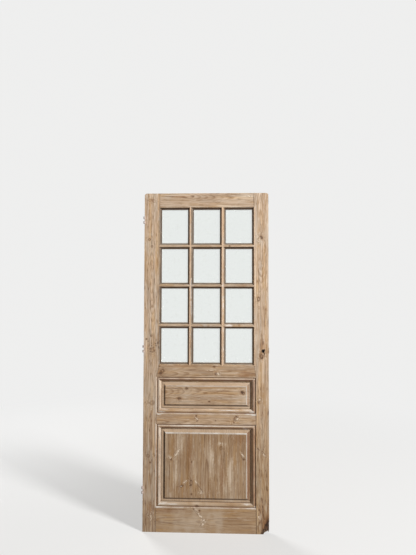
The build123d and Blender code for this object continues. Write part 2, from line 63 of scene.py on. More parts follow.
class Net:
    """Adds nodes to one tree. A value is a number, a colour, a vector or another node's output."""

    def __init__(self, tree):
        self.tree = tree

    def put(self, socket, value):
        if isinstance(value, bpy.types.NodeSocket):
            self.tree.links.new(value, socket)
        elif socket.type == "RGBA":
            socket.default_value = (*value, 1.0)
        else:
            socket.default_value = value

    def node(self, kind, values, **settings):
        made = self.tree.nodes.new(kind)
        for name, value in settings.items():
            setattr(made, name, value)
        for socket, value in values.items():
            self.put(made.inputs[socket], value)
        return made

    def math(self, operation, a, b=0.0):
        return self.node("ShaderNodeMath", {0: a, 1: b}, operation=operation).outputs[0]

    def add(self, a, b):
        return self.math("ADD", a, b)

    def less(self, a, b):
        return self.math("SUBTRACT", a, b)

    def times(self, a, b):
        return self.math("MULTIPLY", a, b)

    def over(self, a, b):
        return self.math("DIVIDE", a, b)

    def most(self, a, b):
        return self.math("MAXIMUM", a, b)

    def least(self, a, b):
        return self.math("MINIMUM", a, b)

    def above(self, value, limit):
        """One where a value is more than a limit, and nothing elsewhere."""
        return self.math("GREATER_THAN", value, limit)

    def size(self, value):
        return self.math("ABSOLUTE", value)

    def length(self, a, b):
        return self.math("SQRT", self.add(self.times(a, a), self.times(b, b)))

    def ramp(self, value, start, end, low=0.0, high=1.0):
        """A smooth step from low at start to high at end; start may be the larger."""
        if start > end:
            start, end, low, high = end, start, high, low
        given = {"Value": value, "From Min": start, "From Max": end, "To Min": low, "To Max": high}
        return self.node("ShaderNodeMapRange", given, interpolation_type="SMOOTHSTEP").outputs[0]

    def band(self, value, start, end, soft):
        """One between start and end, fading to nothing over soft on each side."""
        rise = self.ramp(value, start - soft, start)
        return self.times(rise, self.ramp(value, end + soft, end))

    def strongest(self, value, *bands):
        """The most of some bands of a value, each written (start, end, soft, weight)."""
        most = 0.0
        for start, end, soft, weight in bands:
            most = self.most(most, self.times(self.band(value, start, end, soft), weight))
        return most

    def vector(self, x, y, z):
        return self.node("ShaderNodeCombineXYZ", {0: x, 1: y, 2: z}).outputs[0]

    def noise(self, x, y, z, detail=2.0, rough=0.5):
        given = {"Vector": self.vector(x, y, z), "Scale": 1.0, "Detail": detail, "Roughness": rough}
        return self.node("ShaderNodeTexNoise", given).outputs[0]

    def cloud(self, point, scales, detail=2.0, rough=0.5):
        """Noise at a point, with a scale for each of its three ways or one for them all."""
        if isinstance(scales, float):
            scales = (scales, scales, scales)
        return self.noise(*(self.times(value, scale) for value, scale in zip(point, scales)), detail, rough)

    def mix(self, factor, a, b, blend="MIX"):
        """Colour a, going to colour b as the factor goes from 0 to 1."""
        given = {0: factor, 6: a, 7: b}
        return self.node("ShaderNodeMix", given, data_type="RGBA", blend_type=blend).outputs[2]

    def tint(self, factor, a, b):
        """Colour a, multiplied by colour b as far as the factor says."""
        return self.mix(factor, a, b, "MULTIPLY")

    def blend(self, factor, a, b):
        """The shader of node a, going to that of node b as the factor goes from 0 to 1."""
        return self.node("ShaderNodeMixShader", {0: factor, 1: a.outputs[0], 2: b.outputs[0]})

    def group(self, tree, values):
        return self.node("ShaderNodeGroup", values, node_tree=tree).outputs

    def place(self):
        """The surface point: X, Z, and the depth behind the leaf's front face, in metres."""
        point = self.node("ShaderNodeTexCoord", {}).outputs["Object"]
        parts = self.node("ShaderNodeSeparateXYZ", {0: point}).outputs
        return parts[0], parts[2], self.less(parts[1], FRONT)

    def edges(self, radius):
        """The normal with edges rounded to a radius, and how flat it is: one away from the edges."""
        soft = self.node("ShaderNodeBevel", {"Radius": radius}, samples=4).outputs[0]
        flat = self.node("ShaderNodeNewGeometry", {}).outputs["Normal"]
        turn = self.node("ShaderNodeVectorMath", {0: soft, 1: flat}, operation="DOT_PRODUCT")
        return soft, turn.outputs["Value"]

    def seen(self):
        """One for what the camera sees, also mirrored or through glass, and nothing for light."""
        path = self.node("ShaderNodeLightPath", {}).outputs
        mirrored = self.most(path["Is Glossy Ray"], path["Is Transmission Ray"])
        return self.most(path["Is Camera Ray"], mirrored)

    def coat(self, shader, base, roughness):
        """Gives a shader its colour and roughness."""
        self.put(shader.inputs["Base Color"], base)
        self.put(shader.inputs["Roughness"], roughness)

    def bump(self, shader, height, distance, strength, **normal):
        """Gives a shader relief, as deep as a distance in millimetres."""
        given = {"Height": height, "Distance": distance * MM, "Strength": strength} | normal
        self.put(shader.inputs["Normal"], self.node("ShaderNodeBump", given).outputs[0])


def node_group(name, inputs, outputs, build):
    """A node group of plain numbers, built by a function of its net and its inputs."""
    tree = bpy.data.node_groups.new(name, "ShaderNodeTree")
    for socket in inputs:
        tree.interface.new_socket(socket, in_out="INPUT", socket_type="NodeSocketFloat")
    for socket in outputs:
        tree.interface.new_socket(socket, in_out="OUTPUT", socket_type="NodeSocketFloat")
    net = Net(tree)
    results = build(net, tree.nodes.new("NodeGroupInput").outputs)
    leave = tree.nodes.new("NodeGroupOutput")
    for socket, value in zip(outputs, results):
        net.put(leave.inputs[socket], value)
    return tree


def blank_material(name):
    """A new material, its net and its shader."""
    material = bpy.data.materials.new(name)
    material.use_nodes = True
    return material, Net(material.node_tree), material.node_tree.nodes["Principled BSDF"]


# Pine: the growth rings, the knots and marks, what the stripping left behind, and painted light and shade
# on the mouldings


def build_rings(net, given):
    """Rings of a flat-sawn board: cylinders about a pith that wanders behind the face."""
    along, across, depth, seed = (given[name] for name in ("Along", "Across", "Depth", "Seed"))

    def drawn_out(scales, seeded, detail, rough=0.5):
        """Noise drawn out along the board; the seed moves it along one of its three ways."""
        point = [net.times(value, scale) for value, scale in zip((along, across, depth), scales)]
        point[seeded] = net.add(point[seeded], seed)
        return net.noise(*point, detail, rough)

    wander = net.noise(net.times(along, 1.1), net.times(across, 2.5), seed, detail=1.0)
    waver = drawn_out((3.2, 17.0, 17.0), 0, 2.0)
    reach = net.add(net.add(net.times(wander, 0.11), 0.004), depth)
    side = net.add(net.less(across, given["Pith"]), net.times(net.less(waver, 0.5), 0.022))
    turns = net.add(net.over(net.length(reach, side), given["Spacing"]), given["Lift"])
    year = net.math("FRACT", turns)
    late = net.times(net.ramp(year, 0.35, 0.9), net.ramp(year, 1.0, 0.93))
    which = net.vector(net.math("FLOOR", turns), seed, 0.0)
    luck = net.node("ShaderNodeTexWhiteNoise", {"Vector": which}).outputs[0]
    late = net.times(late, net.add(net.times(luck, 0.6), 0.4))
    streak = drawn_out((2.1, 48.0, 14.0), 1, 3.0, 0.62)
    thread = drawn_out((5.5, 165.0, 60.0), 0, 2.0)
    fibre = drawn_out((16.0, 520.0, 520.0), 1, 2.0)
    dash = drawn_out((19.0, 125.0, 60.0), 2, 3.0, 0.6)
    hue = drawn_out((3.0, 40.0, 20.0), 0, 3.0, 0.65)
    return late, net.ramp(streak, 0.36, 0.66), net.ramp(thread, 0.36, 0.64), fibre, dash, hue


def build_spot(net, given):
    """The distance from a mark's middle, in its own half widths, with a wavering outline."""
    dz = net.less(given["Z"], given["CZ"])
    dx = net.add(net.less(given["X"], given["CX"]), net.times(dz, given["Lean"]))
    far = net.length(net.over(dx, given["RX"]), net.over(dz, given["RZ"]))
    return (net.add(far, given["Waver"]),)


def sight(node, lap):
    """The low and the high corner of the opening in front of a pane or a panel."""
    low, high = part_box(node)
    return low + Vector((lap, 0, lap)), high - Vector((lap, 0, lap))


def middle_and_half(low, high):
    return (low + high) / 2, (high - low) / 2


def beyond(net, off_x, off_z, half_x, half_z):
    """How far a point lies outside an opening, and on which side; mitres come out by themselves.

    The side is -1 at the left and 1 at the right, the end -1 at the bottom and 1 at the top.
    """
    dx = net.less(net.size(off_x), half_x)
    dz = net.less(net.size(off_z), half_z)
    beside = net.above(dx, dz)
    side = net.times(beside, net.math("SIGN", off_x))
    end = net.times(net.less(1.0, beside), net.math("SIGN", off_z))
    return net.over(net.most(dx, dz), MM), side, end


def from_nearest(net, value, first, pitch, count):
    """A value less the middle of the nearest of a row of panes."""
    off = net.less(value, first)
    index = net.least(net.most(net.math("ROUND", net.over(off, pitch)), 0.0), count - 1.0)
    return net.less(off, net.times(index, pitch))


def build_openings(net, given):
    """Millimetres outside the nearest panel's and the nearest pane's sight edges, with the sides."""
    x, z = given["X"], given["Z"]
    lower_low, lower_high = sight("lower_panel", TONGUE_LAP)
    upper_low, upper_high = sight("upper_panel", TONGUE_LAP)
    lower, lower_half = middle_and_half(lower_low, lower_high)
    upper, upper_half = middle_and_half(upper_low, upper_high)
    above = net.above(z, (lower_high.z + upper_low.z) / 2)
    middle_z = net.add(lower.z, net.times(above, upper.z - lower.z))
    half_z = net.add(lower_half.z, net.times(above, upper_half.z - lower_half.z))
    panel = beyond(net, net.less(x, lower.x), net.less(z, middle_z), lower_half.x, half_z)

    middle, half = middle_and_half(*sight("pane_1_1", PANE_LAP))
    pitch_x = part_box("pane_2_1")[0].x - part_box("pane_1_1")[0].x
    pitch_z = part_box("pane_1_2")[0].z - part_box("pane_1_1")[0].z
    off_x = from_nearest(net, x, middle.x, pitch_x, 3)
    off_z = from_nearest(net, z, middle.z, pitch_z, 4)
    return panel + beyond(net, off_x, off_z, half.x, half.z)


def shares(net, side, end):
    """One at the left, right, top or bottom of an opening, and nothing at its other sides."""
    return (
        net.most(net.times(side, -1.0), 0.0), net.most(side, 0.0),
        net.most(end, 0.0), net.most(net.times(end, -1.0), 0.0),
    )


def weigh(net, parts, weights):
    total = 0.0
    for part, weight in zip(parts, weights):
        total = net.add(total, net.times(part, weight))
    return total


def joints(net, x, z):
    """Dark lines where the rails' shoulders meet the stiles, the widest beside the bottom rail."""
    panel_low, panel_high = sight("lower_panel", TONGUE_LAP)
    upper_low, upper_high = sight("upper_panel", TONGUE_LAP)
    glass_low, glass_high = sight("pane_1_1", PANE_LAP)[0], sight("pane_3_4", PANE_LAP)[1]
    torn = net.noise(net.times(x, 300.0), net.times(z, 45.0), 2.0, detail=2.0)
    gap = net.times(net.less(torn, 0.5), 2.2 * MM)

    # The bottom and the middle rail have straight shoulders, the glazing rail slants from foot to head
    levels = ((0.0, panel_low.z - PANEL_MOULD), (panel_high.z + PANEL_MOULD, upper_low.z - PANEL_MOULD))
    straight = [net.times(net.band(z, low - MM, high, 0.5 * MM), 0.9) for low, high in levels]
    foot, head = upper_high.z + PANEL_MOULD, glass_low.z - SASH_MOULD
    slant = net.least(net.most(net.over(net.less(z, foot), head - foot), 0.0), 1.0)
    slanted = net.times(net.times(net.ramp(z, foot, foot + MM), 0.8), net.ramp(z, head + MM, head))
    top = glass_high.z + SASH_MOULD
    above = net.times(net.ramp(z, top, top + MM), 0.85)

    lines = 0.0
    sides = (
        (panel_low.x - PANEL_MOULD, glass_low.x - SASH_MOULD, 0.8),
        (panel_high.x + PANEL_MOULD, glass_high.x + SASH_MOULD, 1.5),
    )
    for line, other, half in sides:
        off = net.less(x, line)
        rows = [(off, half, 0.6, strip) for strip in straight]
        rows.append((net.add(off, net.times(slant, line - other)), 0.9, 0.7, slanted))
        rows.append((net.less(x, other), 0.7, 0.7, above))
        for off, half, soft, strip in rows:
            core = net.ramp(net.size(net.add(off, gap)), (half + soft) * MM, half * MM)
            lines = net.most(lines, net.times(core, strip))
    return lines


def build_remains_and_light(net, given):
    """What is left on the mouldings: white paint, red primer, grey film, dirt, and paler wood, with painted
    light
    and shade among them: painted highlight where the mouldings face the lamp and on some shaded ones, and
    painted shade on the sides away from it, under the mouldings and beside the field's steps.

    Bands are in millimetres outside the sight edges: the ovolo lies at 0 to 25, the quirk at 27, the
    frame beyond 33, and the panel's margin and field on the minus side.
    """
    add, times, most, ramp, strongest = net.add, net.times, net.most, net.ramp, net.strongest
    x, z, depth = given["X"], given["Z"], given["Depth"]
    panel, side, end, pane, pane_side, pane_end = net.group(OPENINGS, {"X": x, "Z": z})
    around_panel = left, right, top, bottom = shares(net, side, end)
    around_pane = shares(net, pane_side, pane_end)
    patch = net.cloud((x, z, depth), (14.0, 14.0, 30.0), 4.0, 0.6)
    fleck = net.cloud((x, z, depth), 160.0)
    ragged = add(times(patch, 0.75), times(fleck, 0.25))
    upper = net.above(z, UPPER_FROM)

    def by_panel(share, low, high):
        """A share of the sides, weighted for the lower and for the upper panel."""
        return times(share, add(low, times(upper, high - low)))

    corner = times(ramp(net.size(net.less(x, WIDTH / 2)), 0.215, 0.275), bottom)
    # White paint remains round the openings, and painted highlight: laid on most where the mouldings and
    # the field's steps face the lamp, at the left, top and bottom of the mouldings and at the right and top
    # of the field
    crest = strongest(
        panel,
        (6.0, 17.0, 3.0, add(by_panel(left, 0.45, 0.32), times(bottom, 0.1))),
        (5.0, 13.0, 2.0, times(corner, 0.7)),
        (19.0, 25.0, 2.0, by_panel(top, 0.68, 0.28)),
    )
    arris = strongest(
        panel,
        (34.0, 39.0, 1.5, times(left, 0.62)),
        (31.0, 36.0, 1.5, most(by_panel(bottom, 0.5, 1.0), corner)),
    )
    field = strongest(
        panel,
        (-29.0, -25.2, 0.8, times(right, 0.82)),
        (-30.5, -23.0, 1.0, by_panel(top, 1.0, 0.42)),
    )
    nose = net.band(pane, 10.0, 19.0, 2.0)
    white = times(crest, ramp(ragged, 0.38, 0.60, 0.15, 0.8))
    white = most(white, times(arris, ramp(ragged, 0.36, 0.56, 0.0, 0.8)))
    white = most(white, times(field, ramp(ragged, 0.36, 0.56, 0.4, 1.0)))
    white = most(white, times(nose, ramp(ragged, 0.54, 0.66, 0.0, 0.5)))

    # Red primer in the quirks, and painted shade in the same red-brown on the sides away from the lamp: the
    # flank of the right-hand mouldings, the underside of the top mouldings and the panel's margin at the
    # right
    red = strongest(
        panel,
        (26.5, 29.5, 1.5, ramp(ragged, 0.3, 0.5, 0.5, 0.95)),
        (8.0, 28.0, 3.0, times(right, ramp(ragged, 0.35, 0.6, 0.4, 0.85))),
        (23.0, 28.0, 2.0, times(right, 0.8)),
        (4.0, 14.0, 3.0, by_panel(top, 0.75, 0.0)),
        (9.5, 18.0, 2.5, by_panel(top, 0.0, 0.95)),
        (-23.5, -9.0, 1.0, by_panel(right, 0.8, 0.5)),
    )

    near = strongest(pane, (-1.0, 9.5, 2.0, weigh(net, around_pane, (0.0, 0.0, 0.3, 0.85))))
    reach = ramp(add(pane, times(net.above(x, LAST_BAR_FROM), 4.0)), 16.5, 14.0)
    grey = most(near, times(reach, times(around_pane[0], 0.85)))
    grey = times(grey, ramp(ragged, 0.3, 0.6, 0.7, 1.0))

    # Dirt and painted shade: dark at the sight edges and in the quirks, and painted shadow beside the
    # field's steps at the left and the bottom and under the upper panel's top moulding
    dirt_and_shade = strongest(
        panel,
        (-0.6, 0.8, 0.8, net.less(0.75, times(right, 0.5))),
        (27.0, 28.2, 0.7, 0.7),
        (-21.5, -13.5, 2.0, add(by_panel(left, 0.95, 0.6), times(bottom, 0.8))),
        (10.0, 17.0, 2.0, by_panel(top, 0.0, 0.4)),
    )
    # Dirt in the fillets round the panes, with painted shade under the rails and bars over each pane
    hollow_dirt_and_shade = strongest(
        pane,
        (-1.0, 4.5, 1.5, weigh(net, around_pane, (0.75, 0.6, 0.95, 0.2))),
        (4.0, 9.0, 2.5, weigh(net, around_pane, (0.45, 0.0, 0.92, 0.0))),
    )
    dirt_and_shade = most(most(dirt_and_shade, hollow_dirt_and_shade), joints(net, x, z))

    slope = strongest(panel, (-20.5, -1.5, 1.5, weigh(net, around_panel, (0.7, 0.0, 0.75, 0.65))))
    # Painted highlight: the shaded moulding at each pane's right, facing away from the lamp, and the shaded
    # foot of the panels' right-hand moulding are lightened as if lit
    lit = times(around_pane[1], ramp(x, 0.64, 0.6, 0.65, 1.0))
    painted_highlight = strongest(pane, (7.5, 17.0, 2.0, lit))
    painted_highlight = most(painted_highlight, strongest(panel, (-2.5, 7.0, 2.0, times(right, 0.6))))
    front = ramp(depth, FRONT_HALF + 0.2 * MM, FRONT_HALF - 0.2 * MM)
    return [times(part, front) for part in (white, red, grey, dirt_and_shade, slope, painted_highlight)]


RINGS = node_group(
    "growth_rings",
    ("Along", "Across", "Depth", "Seed", "Pith", "Spacing", "Lift"),
    ("Late", "Streak", "Thread", "Fibre", "Dash", "Hue"),
    build_rings,
)
SPOT_INPUTS = ("X", "Z", "CX", "CZ", "RX", "RZ", "Lean", "Waver")
SPOT = node_group("mark_distance", SPOT_INPUTS, ("Far",), build_spot)
SIDES = ("Panel", "Side", "End", "Pane", "Pane Side", "Pane End")
OPENINGS = node_group("opening_distances", ("X", "Z"), SIDES, build_openings)
REMAINS_AND_PAINTED_LIGHT = ("White And Highlight", "Red", "Grey", "Dirt And Shade", "Slope", "Bright")
MOULDING_REMAINS_AND_LIGHT = node_group("moulding_remains_and_light", ("X", "Z", "Depth"), REMAINS_AND_PAINTED_LIGHT, build_remains_and_light)

# The wood: its early wood on the upper and the lower boards, and what tints it
EARLY_HIGH = (0.66, 0.515, 0.38)
EARLY_LOW = (0.55, 0.40, 0.265)
LATE = (0.62, 0.53, 0.44)
STREAK = (0.80, 0.77, 0.74)
THREAD = (0.70, 0.64, 0.58)
FIBRE = (0.72, 0.66, 0.60)
WARM = (1.04, 0.95, 0.76)
COOL = (0.56, 0.50, 0.43)
DARK_DASH = (0.50, 0.41, 0.33)
PALE_DASH = (0.76, 0.66, 0.55)
DAMP = (0.86, 0.80, 0.74)
DRY = (0.62, 0.54, 0.44)
# How the stiles darken and brown towards the floor: partly painted shade of light falling off lower down,
# partly browner wood
FOOT_SHADE_AND_TINT = {"hinge_stile": (0.67, 0.65, 0.62), "lock_stile": (0.70, 0.66, 0.57)}

# The marks, the broken foot, the remains with painted light and shade, and the worn edges
KNOT = (0.105, 0.058, 0.034)
HALO = (0.66, 0.53, 0.42)
GHOST = (0.62, 0.54, 0.47)
PALE = (0.76, 0.64, 0.50)
CRACK = (0.15, 0.085, 0.05)
STAIN = (0.74, 0.58, 0.44)
# Painted shade of a hole: a near black spot
HOLE_SHADE = (0.014, 0.010, 0.008)
SCORCH = (0.62, 0.48, 0.36)
# Near black of the rotten pit, also painted shade inside the broken recess
PIT_AND_SHADE = (0.008, 0.005, 0.004)
TORN = (0.13, 0.072, 0.038)
# White paint; on the mouldings it also stands in for painted highlight
WHITE_PAINT_AND_HIGHLIGHT = (0.68, 0.635, 0.575)
CHALK = (0.90, 0.82, 0.76)
# Red primer, also used as painted shade on the mouldings' shaded sides
RED_PRIMER_AND_SHADE = (0.185, 0.08, 0.042)
GREY_FILM = (0.098, 0.083, 0.066)
# Dark dirt, also used as painted shade
DIRT_AND_SHADE = (0.066, 0.036, 0.021)
SLOPE = (0.74, 0.56, 0.40)
# Painted highlight, for shaded mouldings
PAINTED_HIGHLIGHT = (0.88, 0.62, 0.42)
WORN = (0.70, 0.55, 0.40)

# How far round a mark the rings bend, and by how many; and where a mark's hard wood begins
LIFT = {"knot": (3.6, 3.6), "eye": (3.6, 3.6), "ghost": (3.6, 3.6), "pale": (2.0, 2.2)}
HARD = {"knot": (1.25, 0.75), "eye": (1.2, 0.8)}


def measure_marks(net, x, z, marks, waver):
    """The kind of each mark, and the distance from its middle in its own half widths."""
    far = []
    for kind, *spots in marks:
        for mx, mz, rx, rz, *lean in spots:
            given = {
                "X": net.add(net.size(net.less(x, mx * MM)), mx * MM) if kind == "flame" else x,
                "Z": z, "CX": mx * MM, "CZ": mz * MM, "RX": rx * MM, "RZ": rz * MM,
                "Lean": lean[0] if lean else 0.0,
                "Waver": net.times(waver, 0.9 if kind in ("knot", "eye", "ghost") else 1.6),
            }
            far.append((kind, net.group(SPOT, given)[0]))
    return far


def draw_mark(net, base, kind, distance, fibre, thread, waver, skin):
    """A board's colour with one mark on it; flecks come later, over the mouldings' remains."""
    times, ramp, mix, tint = net.times, net.ramp, net.mix, net.tint
    if kind == "knot":
        base = tint(ramp(distance, 2.5, 0.9, 0.0, 0.75), base, HALO)
        rings = ramp(net.math("SINE", times(distance, 17.0)), -1.0, 1.0, 0.55, 1.0)
        base = mix(times(ramp(distance, 1.25, 0.75), rings), base, KNOT)
    elif kind == "dot":
        core = times(ramp(distance, 1.5, 0.5, 0.0, 0.95), ramp(fibre, 0.35, 0.6, 0.5, 1.0))
        base = mix(core, base, KNOT)
    elif kind == "eye":
        base = tint(ramp(distance, 2.3, 1.0, 0.0, 0.5), base, HALO)
        ring = times(ramp(distance, 1.3, 1.0), ramp(distance, 0.45, 0.85))
        base = mix(times(ring, 0.85), base, KNOT)
    elif kind == "ghost":
        ring = times(ramp(distance, 1.4, 1.0), ramp(distance, 0.3, 0.8, 0.35, 1.0))
        base = tint(times(ring, 0.75), base, GHOST)
    elif kind == "pale":
        ripple = net.math("SINE", net.add(times(distance, 5.0), times(waver, 9.0)))
        near = ramp(distance, 1.9, 0.5)
        base = mix(times(near, ramp(ripple, 0.0, -0.9, 0.0, 0.42)), base, CRACK)
        base = mix(times(near, ramp(ripple, -0.4, 1.0, 0.0, 0.85)), base, PALE)
    elif kind == "flame":
        ripple = net.math("SINE", net.add(times(distance, 6.0), times(waver, 5.0)))
        near = times(ramp(distance, 2.4, 1.2), ramp(thread, 0.8, 0.3, 0.12, 1.0))
        base = mix(times(near, ramp(ripple, 0.0, -0.8, 0.0, 0.5)), base, CRACK)
        base = mix(times(near, ramp(ripple, -0.2, 1.0, 0.0, 0.7)), base, PALE)
    elif kind == "streak":
        base = mix(ramp(distance, 1.3, 0.4, 0.0, 0.62), base, CRACK)
    elif kind == "brown":
        base = tint(ramp(distance, 1.9, 0.2, 0.0, 0.7), base, STAIN)
    elif kind == "wash":
        veil = times(ramp(distance, 1.9, 0.2), ramp(thread, 0.8, 0.2, 0.05, 0.5))
        base = mix(times(veil, skin), base, PALE)
    # A hole as a black spot on the face: painted shade of a hole the surface does not have
    elif kind == "hole":
        base = mix(times(ramp(distance, 1.35, 0.9), skin), base, HOLE_SHADE)
    elif kind in ("paint", "chalk"):
        cover = times(ramp(distance, 1.4, 0.5), ramp(thread, 0.9, 0.3, 0.35, 0.85))
        base = mix(times(cover, skin), base, CHALK if kind == "chalk" else WHITE_PAINT_AND_HIGHLIGHT)
    return base


def rotten_foot(net, point, base):
    """Rot in the broken foot of the lock stile and on the face above, with darker wood round it; the near
    black in the broken recess is partly painted shade.
    """
    x, z, depth = point
    inset = net.less(WIDTH, x)
    torn = net.cloud(point, (110.0, 24.0, 110.0), 3.0)
    # The broken recess, coloured near black: rot, with painted shade in the recess
    inside = net.times(net.ramp(depth, 0.2 * MM, 1.2 * MM), net.ramp(z, 0.082, 0.070))
    inside = net.times(inside, net.ramp(inset, 0.046, 0.038))
    climb = net.ramp(inset, 0.058, 0.004, 0.014, 0.098)
    above = net.less(z, net.add(climb, net.times(net.less(torn, 0.5), 0.07)))
    front = net.times(net.ramp(above, 0.004, -0.006, 0.0, 0.9), net.ramp(inset, 0.058, 0.048))
    scorch = net.times(net.ramp(above, 0.05, 0.0), net.ramp(inset, 0.075, 0.03))
    base = net.tint(net.times(scorch, 0.8), base, SCORCH)
    return net.mix(net.most(inside, front), base, net.mix(net.ramp(torn, 0.38, 0.62), PIT_AND_SHADE, TORN))


def pine(name, marks, upright, seed, level, warmth, pith, spacing, force):
    """The finish of one board of stripped pine.

    The level is its brightness, the warmth how far it goes to the brown of the lower boards, the
    pith a share of its width, the ring spacing in millimetres, and the force the contrast of its
    streaks.
    """
    material, net, shader = blank_material(name)
    add, less, times, ramp, mix, tint = net.add, net.less, net.times, net.ramp, net.mix, net.tint
    x, z, depth = point = net.place()
    low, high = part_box(name)
    along, across = (z, x) if upright else (x, z)
    start, end = (low.x, high.x) if upright else (low.z, high.z)

    waver = less(net.noise(times(x, 75.0), times(z, 75.0), seed, detail=3.0), 0.5)
    far = measure_marks(net, x, z, marks, waver)
    lift = hardness = 0.0
    for kind, distance in far:
        if kind in LIFT:
            reach, turns = LIFT[kind]
            lift = add(lift, ramp(distance, reach, 0.3, 0.0, turns))
        if kind in HARD:
            hardness = net.most(hardness, ramp(distance, *HARD[kind]))
    grain = {
        "Along": along, "Across": across, "Depth": depth, "Seed": seed,
        "Pith": start + (end - start) * pith, "Spacing": spacing * MM, "Lift": lift,
    }
    late, streak, thread, fibre, dash, hue = net.group(RINGS, grain)

    early = [level * (a + (b - a) * warmth) for a, b in zip(EARLY_HIGH, EARLY_LOW)]
    base = tint(times(streak, 0.9 * force), early, STREAK)
    base = tint(times(late, 0.9), base, LATE)
    base = tint(times(thread, 0.9 * force), base, THREAD)
    base = tint(ramp(fibre, 0.35, 0.7, 0.0, 0.35), base, FIBRE)
    base = tint(ramp(hue, 0.5, 0.66, 0.0, 0.85), base, WARM)
    base = mix(ramp(hue, 0.48, 0.34, 0.0, 0.36 * force - 0.09), base, COOL)
    base = tint(ramp(dash, 0.57, 0.68, 0.0, 0.75 * force), base, DARK_DASH)
    base = mix(ramp(dash, 0.43, 0.32, 0.0, 0.36 * force), base, PALE_DASH)
    blotch = net.noise(times(x, 5.0), times(z, 3.0), add(depth, seed), detail=3.0, rough=0.6)
    base = tint(ramp(blotch, 0.45, 0.68, 0.0, 0.7), base, DAMP)
    base = mix(ramp(blotch, 0.46, 0.32, 0.0, 0.28), base, DRY)
    # Darker and browner towards the foot: partly painted shade, partly browner wood
    if name in FOOT_SHADE_AND_TINT:
        base = tint(ramp(z, 1.6, 0.0), base, FOOT_SHADE_AND_TINT[name])
    if name == "lock_stile":
        base = rotten_foot(net, point, base)

    skin = ramp(depth, SKIN_END, SKIN_FULL)
    for kind, distance in far:
        base = draw_mark(net, base, kind, distance, fibre, thread, waver, skin)
    white, red, grey, dirt_and_shade, slope, painted_highlight = net.group(MOULDING_REMAINS_AND_LIGHT, {"X": x, "Z": z, "Depth": depth})
    base = mix(times(slope, 0.5), base, SLOPE)
    # Painted highlight on the shaded mouldings
    base = mix(painted_highlight, base, PAINTED_HIGHLIGHT)
    # Red primer, and painted shade on the shaded flanks and undersides of the mouldings
    base = mix(times(red, 0.8), base, RED_PRIMER_AND_SHADE)
    # White paint remains, with painted highlight on the mouldings' lit sides
    base = mix(white, base, WHITE_PAINT_AND_HIGHLIGHT)
    base = mix(grey, base, GREY_FILM)
    # Dirt, with painted shade in the creases and under the mouldings
    base = mix(dirt_and_shade, base, DIRT_AND_SHADE)
    for kind, distance in far:
        if kind == "fleck":
            base = mix(times(ramp(distance, 1.5, 0.6, 0.0, 0.85), skin), base, WHITE_PAINT_AND_HIGHLIGHT)

    soft_normal, flatness = net.edges(1.2 * MM)
    scuff = net.cloud(point, 90.0, 3.0)
    wear = times(ramp(flatness, 0.985, 0.86), ramp(scuff, 0.35, 0.65, 0.05, 0.6))
    base = mix(wear, base, WORN)
    # Painted shade with some grime: darker where ambient occlusion finds crevices, joints and recesses,
    # broken up by noise
    crevice = net.node("ShaderNodeAmbientOcclusion", {"Distance": 5.0 * MM}, samples=6).outputs["AO"]
    occlusion_shade_and_grime = times(ramp(crevice, 0.62, 0.2), ramp(scuff, 0.25, 0.7, 0.3, 0.9))
    base = mix(occlusion_shade_and_grime, base, DIRT_AND_SHADE)

    roughness = add(add(times(late, -0.10), 0.74), times(fibre, 0.10))
    net.coat(shader, base, less(roughness, times(hardness, 0.18)))
    shader.inputs["Specular IOR Level"].default_value = 0.32
    parts = (late, fibre, net.cloud(point, 26.0, 3.0), ramp(dash, 0.58, 0.72), hardness, white)
    relief = weigh(net, parts, (0.30, 0.45, 1.2, -0.35, 0.5, 0.35))
    net.bump(shader, relief, 0.5, 0.55, Normal=soft_normal)
    return material


# Marks read off the front, a kind with its spots: (x, z, half width, half height, lean) in millimetres,
# the lean left out where there is none. A knot is dark with a halo, an eye a dark ring with a halo, a
# ghost a faint ring, a dot a small spot that the fibres break up. Pale is rippled paler wood, a flame the
# same, mirrored about its middle. A streak is a crack, brown a stain, a wash a thin veil of paint in the
# grain; paint, chalk and flecks are thicker remains. A hole is a black spot, painted shade of a hole.
MARKS = {}
MARKS["hinge_stile"] = [
    ("ghost", (60, 2141, 10, 11, 0.2), (36, 2147, 9, 9)), ("wash", (45, 2172, 34, 12)),
    ("streak", (45, 1928, 2, 26)), ("eye", (33, 1886, 7, 6), (50, 1841, 6, 6)),
    ("streak", (46, 1648, 2, 30)), ("wash", (82, 1590, 14, 60)), ("streak", (43, 1462, 2.5, 34),
    (42, 1272, 3, 30)), ("knot", (18, 1234, 5, 4)), ("eye", (50, 1255, 5, 6)), ("dot", (52, 1206, 4, 4)),
    ("ghost", (55, 1163, 13, 12)), ("dot", (70, 1156, 4.5, 4), (42, 1172, 4.5, 7, -0.4),
    (62, 1179, 4.5, 5), (44, 1152, 4.5, 3.5), (57, 1149, 5, 3.5), (52, 1190, 4, 4), (98, 1180, 4, 8),
    (78, 1203, 4, 4), (29, 1220, 3.5, 3.5), (35, 1192, 3, 3), (92, 1209, 5, 9), (83, 1190, 6, 3)),
    ("brown", (98, 1245, 6, 70)), ("streak", (100, 1262, 2.5, 50)), ("ghost", (58, 822, 15, 14),
    (64, 821, 5, 6)), ("streak", (48, 745, 2.5, 18)), ("ghost", (33, 482, 11, 10)),
    ("knot", (47, 441, 4, 5), (90, 511, 4, 5)), ("flame", (51, 94, 8.5, 26, -0.38)),
    ("brown", (50, 150, 16, 30)), ("streak", (70, 150, 2.5, 30), (20, 180, 2.5, 30), (50, 48, 3, 22),
    (31, 118, 2.5, 12, -0.6), (84, 70, 2, 40), (22, 60, 2, 30)),
]
